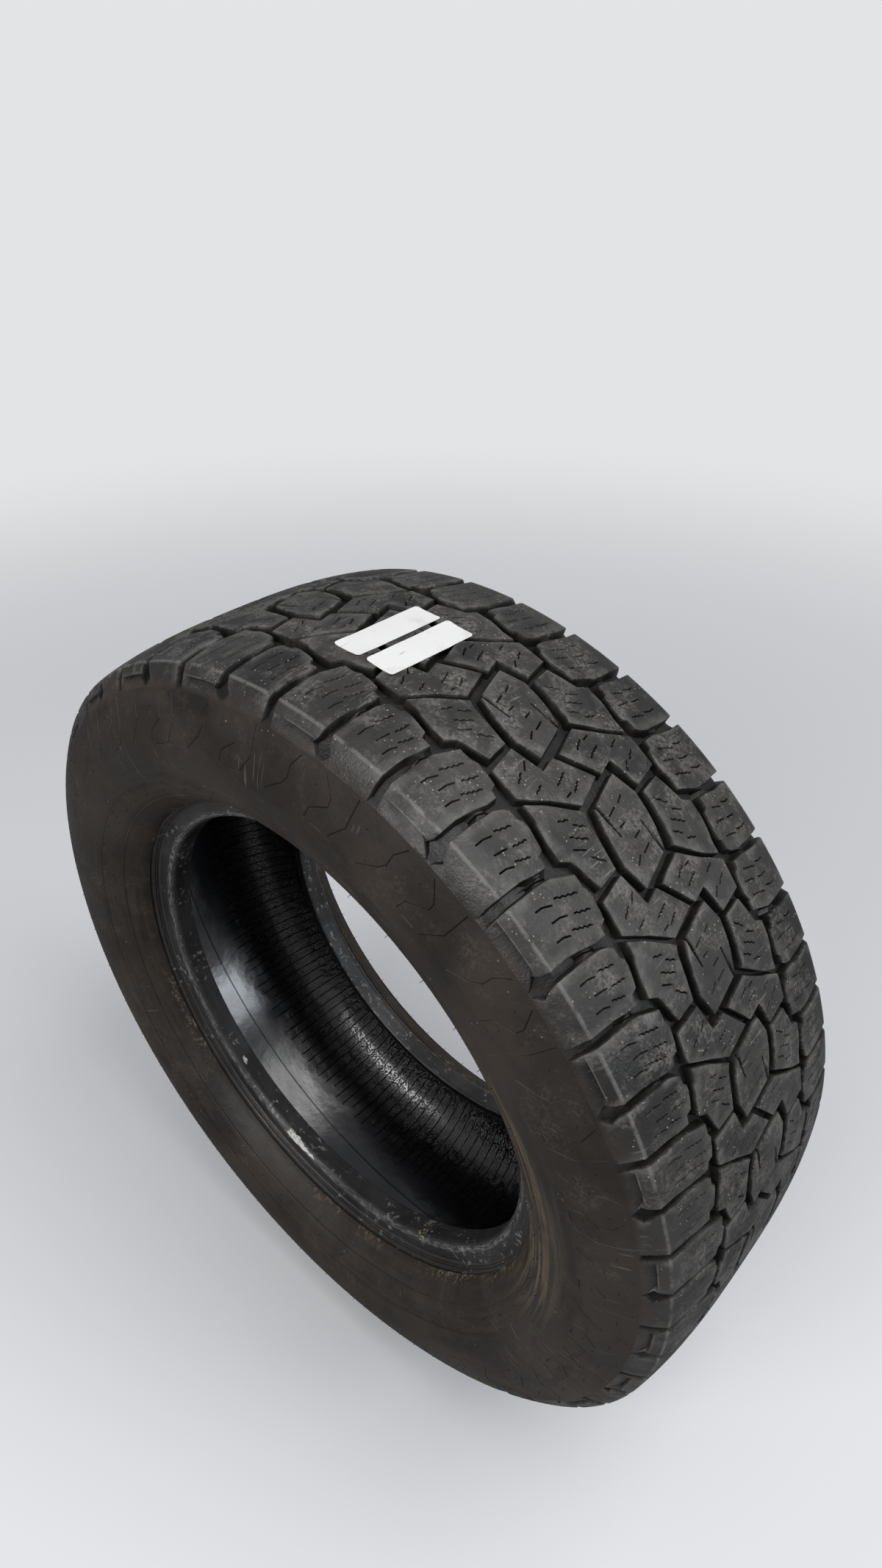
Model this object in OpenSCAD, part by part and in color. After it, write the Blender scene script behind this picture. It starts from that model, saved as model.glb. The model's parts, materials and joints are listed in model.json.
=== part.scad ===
// Worn all-terrain tyre, size 285/60 R18, off its rim and standing on its tread.
// The tyre's axis is Y and the origin is its centre. The near sidewall faces -Y.

/* [Size] */
// Radius of the worn crown at mid-width
crown_r = 390; // [386:1:398]
// How far the tread falls from mid-width to the shoulder edge
crown_drop = 9.4; // [8:0.2:12]
// Half of the tread's width
tread_half_w = 118; // [116:1:120]
// Half of the section's width at the widest part of the sidewall
section_half_w = 142.8; // [140:0.2:145]
// Radius of the bead seat, just under the 18 inch rim's own seat
seat_r = 229; // [227:0.5:231]
// Flattening at the foot, where the soft tyre bears on the floor
flat_drop = 3; // [2.6:0.1:4]

/* [Tread] */
// Depth that is left in the grooves
groove_depth = 8; // [5:0.5:9]
// Width of the grooves between the blocks in the middle
groove_w = 6; // [4:0.5:7]
// Width of the two grooves right round the tread
ring_groove_w = 6.5; // [4:0.5:7]
// Width of the grooves across the shoulders
shoulder_groove_w = 8; // [6:0.5:10]
// Length of one pattern repeat in the drawing of the tread
repeat = 114; // [114:114]
// Angle from the top of the tyre to the first shoulder groove
start_deg = -14.8; // [-20:0.2:-5]

/* [Labels] */
// Width of a stock label across the tread
label_w = 86; // [80:1:90]
// Height of a stock label round the tread
label_h = 27.5; // [24:0.5:30]
// Thickness of the paper
label_t = 0.3; // [0.2:0.05:0.5]
// Distance of both labels' centres from mid-width
label_y = -6; // [-12:1:12]
// Angle from the top to the upper label's centre
upper_label_deg = 1.7; // [0:0.1:4]
// Angle from the top to the lower label's centre
lower_label_deg = 6.6; // [6:0.1:10]

/* [Hidden] */
crown_power = 2.9;
round_fn = 180;
curve_steps = 4;
arc_steps = 4;
tread_steps = 8;
heel_r = 7;
toe_r = 2;
label_gap = 0.05;
ring_groove_y = 66.5;
shoulder_groove_y = 98;
shoulder_groove_slope = 8;
shoulder_groove_reach = 30;
shoulder_groove_length = 80;
right_shift = 0.16;
turned_shift = 27;
foot_cut = [200, 300, 20];
label_half_band = 60;
label_steps = 4;
label_corner_r = 3;
label_corner_fn = 32;
label_cutter_h = 20;

// Radius of the crown at a distance y from mid-width
function crown_at(y) = crown_r - crown_drop * pow(abs(y) / tread_half_w, crown_power);

// One point of a Catmull-Rom curve between b and c
function curve_point(a, b, c, d, t) =
    0.5 * (2 * b + (c - a) * t + (2 * a - 5 * b + 4 * c - d) * t * t
    + (3 * b - a - 3 * c + d) * t * t * t);

// Smooth line through all the given points
function smooth(p) = [
    for (i = [0:len(p) - 2], s = [0:curve_steps - 1])
        curve_point(p[max(i - 1, 0)], p[i], p[i + 1], p[min(i + 2, len(p) - 1)], s / curve_steps),
    p[len(p) - 1]
];

// Quarter turn of radius r about [y, z] from angle a to angle b
function arc(y, z, r, a, b) = [
    for (s = [0:arc_steps]) let (t = a + (b - a) * s / arc_steps) [y + r * cos(t), z + r * sin(t)]
];

// Section lines run from mid-width outward, as [distance from mid-width, radius]
tread_line = [for (s = [0:tread_steps - 1]) let (y = tread_half_w * s / tread_steps) [y, crown_at(y)]];
sidewall_line = smooth([
    [tread_half_w, crown_at(tread_half_w)], [124.5, 372], [129.7, 362], [137.6, 341],
    [section_half_w, 316], [140.5, 292], [131, 270], [117, 256], [106, 250], [100.5, 249]
]);
bead_foot = concat(
    [[98, 247]],
    arc(91, seat_r + heel_r, heel_r, 0, -90),
    arc(77, seat_r + toe_r, toe_r, -90, -180)
);
liner_line = smooth([
    [75, seat_r + 8], [80, 248], [97, 262], [119, 279], [130.5, 297], [129.4, 316.4],
    [122, 334.5], [110, 350], [94.5, 362], [76.4, 369.4], [50, 371.8], [0, 372]
]);
half_section = concat(tread_line, sidewall_line, bead_foot, liner_line);

// Lengths of the half repeats round the tyre: runs of long, middle and short ones
runs = [
    [7, 4], [2, 3.5], [8, 3], [2, 3.5], [5, 4], [3, 3.5], [6, 3], [3, 3.5],
    [4, 4], [3, 3.5], [4, 3], [2, 3.5], [1, 4]
];
half_lengths = [for (r = runs, i = [1:r[0]]) r[1]];
halves = len(half_lengths);
function total(list, n) = n == 0 ? 0 : total(list, n - 1) + list[n - 1];
unit_deg = 360 / total(half_lengths, halves);
knots = [for (i = [0:halves]) total(half_lengths, i) * unit_deg];

// Angle round the tyre of a place u along the drawing, counted from the first groove
function angle_at(u) =
    let (h = u / (repeat / 2), turn = floor(h / halves), i = floor(h) - turn * halves)
    start_deg + 360 * turn + knots[i] + (h - floor(h)) * (knots[i + 1] - knots[i]);

// Middle lines of the grooves in one repeat, as [across the tread, along it]
round_centre_block = [[-16.5, -17.5], [-29.5, 31], [-22.5, 55.5], [17.5, 43]];
between_wide_blocks = [[-9.5, 51], [9.5, 90]];
behind_wide_block = [[-66, 37.5], [-30, 31]];
before_inner_block = [[-66, 65.5], [-46, 77.5], [-18, 98.5]];
left_grooves = [round_centre_block, behind_wide_block, before_inner_block];

// The right half of the tread is the left half turned by half a turn
function turned(line) = [for (p = line) [-p[0], repeat + turned_shift - p[1]]];
repeat_grooves = concat([between_wide_blocks], left_grooves, [for (g = left_grooves) turned(g)]);

// Direction across a line at its point i, long enough to keep the line's width in a bend
function across(line, i) =
    let (a = line[max(i - 1, 0)], b = line[i], c = line[min(i + 1, len(line) - 1)],
        before = b == a ? (c - b) / norm(c - b) : (b - a) / norm(b - a),
        after = b == c ? before : (c - b) / norm(c - b),
        middle = before + after)
    [-middle[1], middle[0]] * 2 / (middle * middle);

// Outline of a strip of width w along a line
function strip(line, w) = concat(
    [for (i = [0:len(line) - 1]) line[i] + across(line, i) * w / 2],
    [for (i = [len(line) - 1:-1:0]) line[i] - across(line, i) * w / 2]
);

// A half section, mirrored to both sides and spun about the Y axis
module spin(half) {
    whole = concat(half, [for (i = [len(half) - 2:-1:1]) [-half[i][0], half[i][1]]]);
    rotate([-90, 0, 0])
        rotate_extrude($fn = round_fn)
            polygon([for (p = whole) [p[1], p[0]]]);
}

// A straight-sided groove along a line of the drawing, moved on by u
module groove(line, u) {
    angles = [for (p = line) angle_at(p[1] + u)];
    middle = (min(angles) + max(angles)) / 2;
    flat_line = [for (i = [0:len(line) - 1]) [crown_r * sin(angles[i] - middle), line[i][0]]];
    rotate([0, middle, 0])
        translate([0, 0, crown_r - groove_depth])
            linear_extrude(height = 2 * groove_depth)
                polygon(strip(flat_line, groove_w));
}

// A groove right round the tread, a distance y from mid-width
module ring_groove(y) {
    rotate([-90, 0, 0])
        rotate_extrude($fn = round_fn)
            translate([crown_at(y) - groove_depth, y - ring_groove_w / 2])
                square([2 * groove_depth, ring_groove_w]);
}

// A slot across one shoulder, open to the side
module shoulder_groove(at_deg, side) {
    rotate([0, at_deg, 0])
        scale([1, side, 1])
            translate([0, shoulder_groove_y, crown_at(shoulder_groove_y) - groove_depth])
                rotate([-shoulder_groove_slope, 0, 0])
                    translate([-shoulder_groove_w / 2, -shoulder_groove_reach, 0])
                        cube([shoulder_groove_w, shoulder_groove_length, 5 * groove_depth]);
}

// The tyre: one moulded piece, with the tread's blocks left between the grooves
module tyre() {
    color([0.2, 0.19, 0.18])
        difference() {
            spin(half_section);
            for (side = [-1, 1])
                ring_groove(side * ring_groove_y);
            for (k = [0:halves / 2 - 1], line = repeat_grooves)
                groove(line, k * repeat);
            for (h = [0:halves - 1], side = [-1, 1])
                shoulder_groove(angle_at((h + (side > 0 ? right_shift : 0)) * repeat / 2), side);
            translate([-foot_cut[0] / 2, -foot_cut[1] / 2, flat_drop - crown_r - foot_cut[2]])
                cube(foot_cut);
        }
}

// A paper label that lies on the blocks and bridges the grooves
module label(centre_deg) {
    color([0.93, 0.92, 0.9])
        intersection() {
            spin([
                for (s = [0:label_steps]) let (y = label_half_band * s / label_steps)
                    [y, crown_at(y) + label_gap + label_t],
                for (s = [label_steps:-1:0]) let (y = label_half_band * s / label_steps)
                    [y, crown_at(y) + label_gap]
            ]);
            rotate([0, centre_deg, 0])
                translate([0, label_y, crown_r - label_cutter_h / 2])
                    linear_extrude(height = label_cutter_h)
                        rounded_plate(label_h, label_w, label_corner_r);
        }
}

// A rectangle with round corners, w by h about its centre
module rounded_plate(w, h, r) {
    square([w - 2 * r, h], center = true);
    square([w, h - 2 * r], center = true);
    for (x = [-1, 1], y = [-1, 1])
        translate([x * (w / 2 - r), y * (h / 2 - r)])
            circle(r, $fn = label_corner_fn);
}

module upper_label() { label(upper_label_deg); }
module lower_label() { label(lower_label_deg); }

tyre();
upper_label();
lower_label();
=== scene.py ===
"""A worn all-terrain tyre, off its rim and standing on its tread.

The CAD frame holds the tyre with its main grooves, and two labels. This script puts one closed mesh
in the CAD tyre's place, with the whole tread, its sipes, the moulded sidewalls and the liner inside,
and sheets of paper in the labels' place. It adds the ridges on the liner, the stubs of the mould's
vents and two scraps of paper on the bead. Lengths are in millimetres until a mesh is made, and in
metres in Blender.
"""

import json
import math

import bmesh
import bpy
import numpy as np
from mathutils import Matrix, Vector, noise
from mathutils.geometry import delaunay_2d_cdt


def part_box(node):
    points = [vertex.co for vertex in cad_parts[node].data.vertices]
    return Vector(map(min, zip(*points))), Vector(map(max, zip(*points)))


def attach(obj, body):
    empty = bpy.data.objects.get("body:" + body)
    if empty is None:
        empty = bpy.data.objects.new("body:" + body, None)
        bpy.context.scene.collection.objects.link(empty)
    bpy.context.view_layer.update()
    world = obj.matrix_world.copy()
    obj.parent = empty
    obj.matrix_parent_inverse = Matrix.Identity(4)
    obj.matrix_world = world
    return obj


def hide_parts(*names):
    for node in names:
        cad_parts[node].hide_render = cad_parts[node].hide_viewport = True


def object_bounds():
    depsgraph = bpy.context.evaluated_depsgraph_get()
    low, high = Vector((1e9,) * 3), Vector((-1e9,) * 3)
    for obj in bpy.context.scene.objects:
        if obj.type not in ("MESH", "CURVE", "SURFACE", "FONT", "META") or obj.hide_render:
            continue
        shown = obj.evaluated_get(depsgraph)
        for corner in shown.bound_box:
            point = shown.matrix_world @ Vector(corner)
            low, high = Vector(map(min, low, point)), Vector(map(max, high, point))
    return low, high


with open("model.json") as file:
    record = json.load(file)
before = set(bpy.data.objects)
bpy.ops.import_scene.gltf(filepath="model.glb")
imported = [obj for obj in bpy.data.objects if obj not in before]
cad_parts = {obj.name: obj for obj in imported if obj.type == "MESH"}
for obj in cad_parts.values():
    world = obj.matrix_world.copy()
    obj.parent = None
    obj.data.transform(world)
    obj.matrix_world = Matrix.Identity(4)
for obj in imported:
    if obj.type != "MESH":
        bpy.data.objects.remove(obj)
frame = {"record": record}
cad_box = [list(corner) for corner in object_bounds()]
MM = 0.001

# ---------------- the tyre's section
TYRE_LOW, TYRE_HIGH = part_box("tyre")
FOOT_Z = TYRE_LOW[2]
CROWN_R = TYRE_HIGH[2] / MM
CROWN_DROP = 9.4
CROWN_POWER = 2.9
TREAD_HALF = 118.0
SEAT_R = frame["record"]["mounts"][0]["dims"]["r_mm"]


def crown_at(y):
    """Radius of the tread's crown at a distance y from mid-width."""
    return CROWN_R - CROWN_DROP * (abs(y) / TREAD_HALF) ** CROWN_POWER


def smooth(points, steps):
    """A Catmull-Rom line through the points."""
    line = []
    last = len(points) - 1
    for i in range(last):
        a, b, c, d = (np.array(points[min(max(j, 0), last)]) for j in (i - 1, i, i + 1, i + 2))
        for t in np.arange(steps) / steps:
            line.append(0.5 * (2 * b + (c - a) * t + (2 * a - 5 * b + 4 * c - d) * t * t
                               + (3 * b - a - 3 * c + d) * t ** 3))
    return [tuple(p) for p in line] + [tuple(points[-1])]


def arc(y, r, radius, start, end, steps):
    """Points of an arc about (y, r), from one angle to another in degrees."""
    angles = np.radians(np.linspace(start, end, steps + 1))
    return [(y + radius * math.cos(a), r + radius * math.sin(a)) for a in angles]


SIDEWALL = smooth([
    (TREAD_HALF, crown_at(TREAD_HALF)), (124.5, 372), (129.7, 362), (137.6, 341),
    (142.8, 316), (140.5, 292), (131, 270), (117, 256), (108.5, 251)], 5)
RIM_LINE = [(107.8, 251.9), (106.2, 252.1), (105.4, 250.2), (103.4, 249.3), (102.9, 249.8),
            (102.2, 249.8), (101.7, 248.9), (100.6, 248.6), (100.1, 249), (99.5, 248.7)]
BEAD_FOOT = ([(98.4, 247), (98.6, 242)] + arc(91, SEAT_R + 7, 7, 0, -90, 6) + [(88, SEAT_R + 0.5)]
             + [(84, SEAT_R)] + arc(77, SEAT_R + 2, 2, -90, -180, 3))
LINER = smooth([
    (75, SEAT_R + 8), (80, 248), (97, 262), (119, 279), (130.5, 297), (129.4, 316.4), (122, 334.5),
    (110, 350), (94.5, 362), (76.4, 369.4), (50, 371.8), (0, 372)], 3)
SEAM = [(4, 372), (0.9, 372), (0.4, 371.55), (0, 371.5)]

# The outer skin is measured by s: across the tread, then along the sidewall.
side_points = np.array(SIDEWALL)
side_s = TREAD_HALF + np.concatenate(
    [[0], np.cumsum(np.hypot(*np.diff(side_points, axis=0).T))])


def skin(s):
    """Place of s on the outer skin, as arrays of distance from mid-width and radius."""
    a = np.abs(s)
    y = np.where(a < TREAD_HALF, a, np.interp(a, side_s, side_points[:, 0]))
    r = np.where(a < TREAD_HALF, crown_at(np.minimum(a, TREAD_HALF)),
                 np.interp(a, side_s, side_points[:, 1]))
    return np.sign(s) * y, r


def skin_normal(s):
    """Outward normal of the skin, softened over the shoulder's edge."""
    reach = 4.0
    y0, r0 = skin(s - reach)
    y1, r1 = skin(s + reach)
    length = np.hypot(y1 - y0, r1 - r0)
    return -(r1 - r0) / length, (y1 - y0) / length


# ---------------- the tread's drawing
REPEAT = 114.0
START_DEG = -14.8
RUNS = [(7, 4), (2, 3.5), (8, 3), (2, 3.5), (5, 4), (3, 3.5), (6, 3), (3, 3.5),
        (4, 4), (3, 3.5), (4, 3), (2, 3.5), (1, 4)]
half_lengths = [length for count, length in RUNS for _ in range(count)]
KNOTS = START_DEG + 360 * np.concatenate([[0], np.cumsum(half_lengths)]) / sum(half_lengths)
REPEATS = len(half_lengths) // 2
TURN_SUM = REPEAT + 27
GROOVE_DEPTH = 8.0
DOMAIN = 190.0
COLUMNS = 8


def angle_at(u):
    """Angle round the tyre, in radians from the top, of a place u along the drawing."""
    return np.radians(np.interp(u, np.arange(len(KNOTS)) * REPEAT / 2, KNOTS))


CENTRE_BLOCK = [
    (-14.3, -12.9), (19.8, -24.3), (25.5, -4), (23.5, 9.5), (20.3, 23.2), (16.3, 33.7),
    (14.3, 39.9), (-19.8, 51.3), (-25.5, 31), (-23.5, 17.5), (-20.3, 3.8), (-16.3, -6.7)]
WIDE_BLOCK = [
    (-58, 39.2), (-32.9, 33.7), (-27.6, 58.2), (-26.5, 60.2), (-12.5, 55.8), (5.5, 84.5),
    (-21.5, 94.7), (-40.3, 79.2), (-47.7, 74.2), (-60, 65.2)]
INNER_BLOCK = [
    (-59.5, 71.2), (-47, 79.2), (-24, 99.5), (-27, 105.2), (-30.2, 123.2), (-33.4, 142.2),
    (-52.7, 145.2), (-57.4, 127.2), (-59, 120.2), (-66.8, 115.2), (-65.8, 101.2),
    (-63.7, 92.2), (-60.5, 83.2)]
STEPPED_BLOCK = [
    (-139.5, 6), (-128, 5), (-118, 4.2), (-104.4, 4.2), (-94, 4.2), (-81.4, 5.2), (-73, 9.2),
    (-63.7, 13.2), (-64.2, 23.2), (-62.1, 29.2), (-63.7, 41.2), (-65.2, 48.2), (-70, 50.2),
    (-71.5, 56.2), (-80.4, 56.2), (-90.8, 53.7), (-104.4, 51.7), (-118, 52.2), (-125, 51.5),
    (-130.5, 48.2), (-139.6, 59.3)]
PLAIN_BLOCK = [
    (-139.6, 60.7), (-131.5, 68.4), (-125, 63.4), (-118, 61), (-99.2, 60.7), (-88.7, 61.7), (-80.4, 62.2),
    (-74.1, 64.7), (-71, 68.2), (-71, 76.2), (-68.4, 79.2), (-68.4, 85.2), (-70, 93.2),
    (-72, 101.7), (-77.2, 103.7), (-77.8, 112.2), (-88.7, 111.2), (-99.2, 109.2),
    (-118, 109.2), (-128, 109.4), (-139.5, 110.5)]
LEFT_BLOCKS = [WIDE_BLOCK, INNER_BLOCK, STEPPED_BLOCK, PLAIN_BLOCK]


def turned(points):
    """The right half of the drawing is the left half turned by half a turn."""
    return [(-x, TURN_SUM - u) for x, u in points]


BLOCKS = [CENTRE_BLOCK] + LEFT_BLOCKS + [turned(block) for block in LEFT_BLOCKS]

# Cuts narrower than a groove: each kind has its half width and depth, and each sipe its points
# and its number of teeth
SIPE = (0.76, 3.6)
SIPE_SWING = 0.55
LEFT_SIPES = [
    ([(-103.4, 16.7), (-98, 16.9), (-91.4, 19.7)], 0), ([(-98.7, 28.7), (-92, 28.9), (-86.7, 30.7)], 0),
    ([(-103.4, 40.2), (-98, 40.3), (-92.9, 42.2)], 0), ([(-87.2, 17.2), (-71, 23.2)], 4),
    ([(-81.4, 32.7), (-69.9, 36.7)], 3), ([(-89.3, 40.2), (-75.2, 45.7)], 4),
    ([(-106.5, 73.2), (-100, 73), (-94, 74.7)], 0), ([(-101.3, 85.7), (-91.4, 87.2)], 0),
    ([(-106.5, 97.2), (-101, 97.2), (-96.1, 99.2)], 0), ([(-90.3, 73.2), (-78.3, 76.7)], 3),
    ([(-87.2, 88.7), (-76.2, 90.2)], 3), ([(-92.4, 97.2), (-82.5, 100.7)], 3),
    ([(-47.5, 93.7), (-40.1, 96.7)], 2), ([(-39.1, 101.7), (-31.8, 107.2)], 2),
    ([(-48, 106.7), (-37, 114.7)], 3), ([(-52.2, 114.7), (-44.3, 119.7)], 0),
    ([(-43.8, 125.7), (-36.5, 133.7)], 2), ([(-50.1, 57.2), (-42.8, 52.2)], 2),
    ([(-38.6, 52.2), (-33.4, 46.7)], 0), ([(-44.9, 70.2), (-37.5, 67.2)], 2),
    ([(-26.6, 74.2), (-14.6, 69.2)], 4), ([(-27.1, 84.2), (-21.9, 83.2)], 0),
    ([(-18.7, 84.7), (-10.4, 79.7)], 3)]
CENTRE_SIPES = [
    ([(-9.3, -1.8), (-0.5, -4.8)], 0), ([(5.3, -5.8), (11.5, -8.8)], 0),
    ([(-7.2, 8.5), (-1.5, 7.7)], 0), ([(-2, 20.2), (5.2, 18.2)], 0),
    ([(-14, 36.2), (-8, 31.7)], 0), ([(-3.5, 32.2), (5.2, 29.2)], 0)]
# Slots in the centre block, each wider at its mouth
SLOT_DEPTH = 6.0
SLOTS = [([(12.9, 37.5), (12.1, 13.5)], 0.8), ([(13.2, 40), (12.7, 27)], 1.7),
         ([(-12.9, -10.5), (-12.1, 13.5)], 0.8), ([(-13.2, -13), (-12.7, 0)], 1.7)]
# The slit in each tie bar between shoulder blocks, and the ridge where the bar meets the groove
SLIT = (0.7, 3.0)
TIE_SLITS = [[(-96, 2), (-90, 1.6), (-80, 4)], [(-96, 57), (-90, 57), (-80, 60.5)]]
# Moulded lines on the sidewall, by their place s and u
MARK = (0.7, 0.55)
CUT_END = 0.8
SIDE_MARKS = [
    [(-143, 44), (-154, 36.6), (-164, 36.6), (-171, 31), (-183, 12.4)],
    [(-143, 71.2), (-156, 83.6), (-163, 83.6), (-173, 66), (-183, 63)],
    [(-142, 105.7), (-166, 105.7), (-183, 92)], [(-183.5, 70), (-183.5, 84)]]


def wave(points, waves):
    """A straight cut with small zigzag teeth, or the points as they are."""
    if waves == 0:
        return points
    (x0, u0), (x1, u1) = points[0], points[-1]
    count = 2 * waves
    length = math.hypot(x1 - x0, u1 - u0)
    side = (-(u1 - u0) / length, (x1 - x0) / length)
    line = []
    for i in range(count + 1):
        t = i / count
        swing = SIPE_SWING * (0 if i in (0, count) else (-1) ** i)
        line.append((x0 + (x1 - x0) * t + side[0] * swing, u0 + (u1 - u0) * t + side[1] * swing))
    return line


def all_cuts():
    """Every narrow cut in one repeat, as (line, half width, depth)."""
    cuts = [(wave(line, waves), *SIPE) for line, waves in CENTRE_SIPES]
    cuts += [(line, half, SLOT_DEPTH) for line, half in SLOTS]
    for line, waves in LEFT_SIPES:
        shaped = wave(line, waves)
        cuts += [(shaped, *SIPE), (turned(shaped), *SIPE)]
    for line in TIE_SLITS:
        cuts += [(line, *SLIT), (turned(line), *SLIT)]
    for line in SIDE_MARKS:
        cuts += [(line, *MARK), (turned(line), *MARK)]
    return cuts


def resampled(points, spacing, closed=True):
    """The same line with no stretch longer than the spacing."""
    ends = points + points[:1] if closed else points
    line = []
    for a, b in zip(ends, ends[1:]):
        count = max(1, math.ceil(math.dist(a, b) / spacing))
        line += [(a[0] + (b[0] - a[0]) * i / count, a[1] + (b[1] - a[1]) * i / count)
                 for i in range(count)]
    return line if closed else line + [points[-1]]


def offset(points, distance):
    """A closed outline moved outward by a distance."""
    area = sum(a[0] * b[1] - b[0] * a[1] for a, b in zip(points, points[1:] + points[:1]))
    turn = 1 if area > 0 else -1
    moved = []
    for a, b, c in zip(points[-1:] + points[:-1], points, points[1:] + points[:1]):
        before = np.array([b[1] - a[1], a[0] - b[0]]) * turn / math.dist(a, b)
        after = np.array([c[1] - b[1], b[0] - c[0]]) * turn / math.dist(b, c)
        middle = before + after
        reach = distance / max(0.5, middle.dot(middle) / 2)
        moved.append((b[0] + middle[0] * reach, b[1] + middle[1] * reach))
    return moved


def ribbon(line, half_width):
    """The closed outline of a cut of a given width along an open line, running past its ends."""
    left, right = [], []
    for i, (x, u) in enumerate(line):
        a, b = line[max(i - 1, 0)], line[min(i + 1, len(line) - 1)]
        length = math.dist(a, b)
        side = (-(b[1] - a[1]) / length * half_width, (b[0] - a[0]) / length * half_width)
        if i in (0, len(line) - 1):
            beyond = -CUT_END if i == 0 else CUT_END
            x, u = x + side[1] * beyond, u - side[0] * beyond
        left.append((x + side[0], u + side[1]))
        right.append((x - side[0], u - side[1]))
    return left + right[::-1]


# ---------------- heights over the drawing
ROUNDING = 1.0
EDGE_DROP = 0.3
DRAFT = 1.2
# The grooves run out over the shoulder, down to part of their depth and then to nothing
GROOVE_BEND = TREAD_HALF + 18
GROOVE_END = TREAD_HALF + 21.0
BEND_DEPTH = 0.55
# The tie bars between shoulder blocks: where they stand across the tread, their ends and height
TIE_S = (81, 95.5)
TIE_RAMP = 1.5
TIE_RISE = 5.0
# The step outside every other shoulder block: its place, the lengths of its ends and its depth
STEP_S = (TREAD_HALF + 9.5, TREAD_HALF + 20)
STEP_U = (8.0, 48.5)
STEP_EDGE = 0.8
STEP_FADE = 9.0
STEP_RAMP = 1.2
STEP_DEPTH = 2.6


def distance_to(points, lines, closed):
    """Distance from each point to the nearest of some lines."""
    best = np.full(len(points), 1e9)
    for line in lines:
        ends = line + line[:1] if closed else line
        for a, b in zip(ends, ends[1:]):
            a, b = np.array(a), np.array(b)
            t = np.clip(((points - a) @ (b - a)) / ((b - a) @ (b - a)), 0, 1)
            best = np.minimum(best, np.linalg.norm(points - a - t[:, None] * (b - a), axis=1))
    return best


def inside(points, outline):
    """Whether each point lies inside an outline."""
    result = np.zeros(len(points), bool)
    for a, b in zip(outline, outline[1:] + outline[:1]):
        if a[1] == b[1]:
            continue
        between = (points[:, 1] >= min(a[1], b[1])) & (points[:, 1] < max(a[1], b[1]))
        cross = a[0] + (points[:, 1] - a[1]) * (b[0] - a[0]) / (b[1] - a[1])
        result ^= between & (points[:, 0] < cross)
    return result


def floor_depth(points):
    """Depth of the groove floor: full on the tread, raised at tie bars, out at the buttress."""
    a = np.abs(points[:, 0])
    depth = np.full(len(points), GROOVE_DEPTH)
    depth -= TIE_RISE * np.clip(np.minimum(a - TIE_S[0], TIE_S[1] - a) / TIE_RAMP, 0, 1)
    return depth * np.interp(a, [TREAD_HALF, GROOVE_BEND, GROOVE_END], [1, BEND_DEPTH, 0])


OVERLAP = 4


def shifted(lines):
    """Lines of this repeat and its neighbours where they reach into it, each with a number that
    the same block has wherever it is met."""
    moved = [([(x, u + k * REPEAT) for x, u in line], i + float(len(BLOCKS) * k))
             for k in (-2, -1, 0, 1) for i, line in enumerate(lines)]
    return [(line, number) for line, number in moved
            if max(p[1] for p in line) > -OVERLAP and min(p[1] for p in line) < REPEAT + OVERLAP]


def heights(points, blocks, cuts):
    """Height over the skin at points (s, u) of the drawing, distance outside the nearest block,
    and the number of the block that the point is in."""
    away = distance_to(points, [line for line, _ in blocks], True)
    number = np.full(len(points), -99.0)
    for line, name in blocks:
        number[inside(points, line)] = name
    sd = np.where(number > -99, -away, away)
    floor = floor_depth(points)
    wall = np.clip(sd / DRAFT, 0, 1)
    edge = np.minimum(EDGE_DROP, floor) * np.clip(1 + sd / ROUNDING, 0, 1)
    height = -edge - np.maximum(floor - EDGE_DROP, 0) * wall
    for line, half_width, depth in cuts:
        gap = distance_to(points, [line], False)
        height -= depth * np.clip(1 - gap / half_width, 0, 1)
    height -= step_depth(points)
    return height, sd, number


def stepped(points):
    """1 beside the shoulder blocks that have a step, and 0 elsewhere."""
    u = np.where(points[:, 0] < 0, points[:, 1], TURN_SUM - points[:, 1]) % REPEAT
    return np.clip(np.minimum(u - STEP_U[0], STEP_U[1] - u) / STEP_RAMP, 0, 1)


def step_depth(points):
    """The recess outside every other shoulder block."""
    a = np.abs(points[:, 0])
    along = np.clip((a - STEP_S[0]) / STEP_EDGE, 0, 1) * np.clip((STEP_S[1] - a) / STEP_FADE, 0, 1)
    return STEP_DEPTH * stepped(points) * along


# ---------------- the mesh of one repeat
TREAD_ZONE, SIDE_ZONE, BEAD_ZONE, LINER_ZONE = range(4)
FINE_RINGS = (288.0, 267.0)
# Spacing of the outlines' points and of the points between them, across and along the tread
LINE_SPACING = 8.0
GRID = (9.0, 8.0)
BORDER_POINTS = 41
# How far those points keep from cuts, blocks and rings
CUT_CLEAR, BLOCK_CLEAR, RING_CLEAR = 2.2, 3.4, 2.0


def drawing_lines(blocks, cuts):
    """Points and edges of every line that the triangles of the drawing have to follow."""
    coords, edges = [], []

    def add(line, closed):
        first = len(coords)
        coords.extend(line)
        count = len(line)
        edges.extend((first + i, first + (i + 1) % count) for i in range(count if closed else count - 1))

    for block, _ in blocks:
        for distance in (-ROUNDING, 0.0, DRAFT):
            add(resampled(offset(block, distance), LINE_SPACING), True)
    for line, half_width, _ in cuts:
        if half_width == MARK[0]:
            line = resampled(line, LINE_SPACING, closed=False)
        add(ribbon(line, half_width), True)
        add(line, False)
    for side in (-1, 1):
        for s in (TREAD_HALF, STEP_S[0], STEP_S[0] + STEP_EDGE, GROOVE_END, DOMAIN):
            add([(side * s, REPEAT * j / COLUMNS) for j in range(COLUMNS + 1)], False)
    borders = np.linspace(-DOMAIN, DOMAIN, BORDER_POINTS)
    for u in (0.0, REPEAT):
        add([(s, u) for s in borders], False)
    return coords, edges


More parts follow.
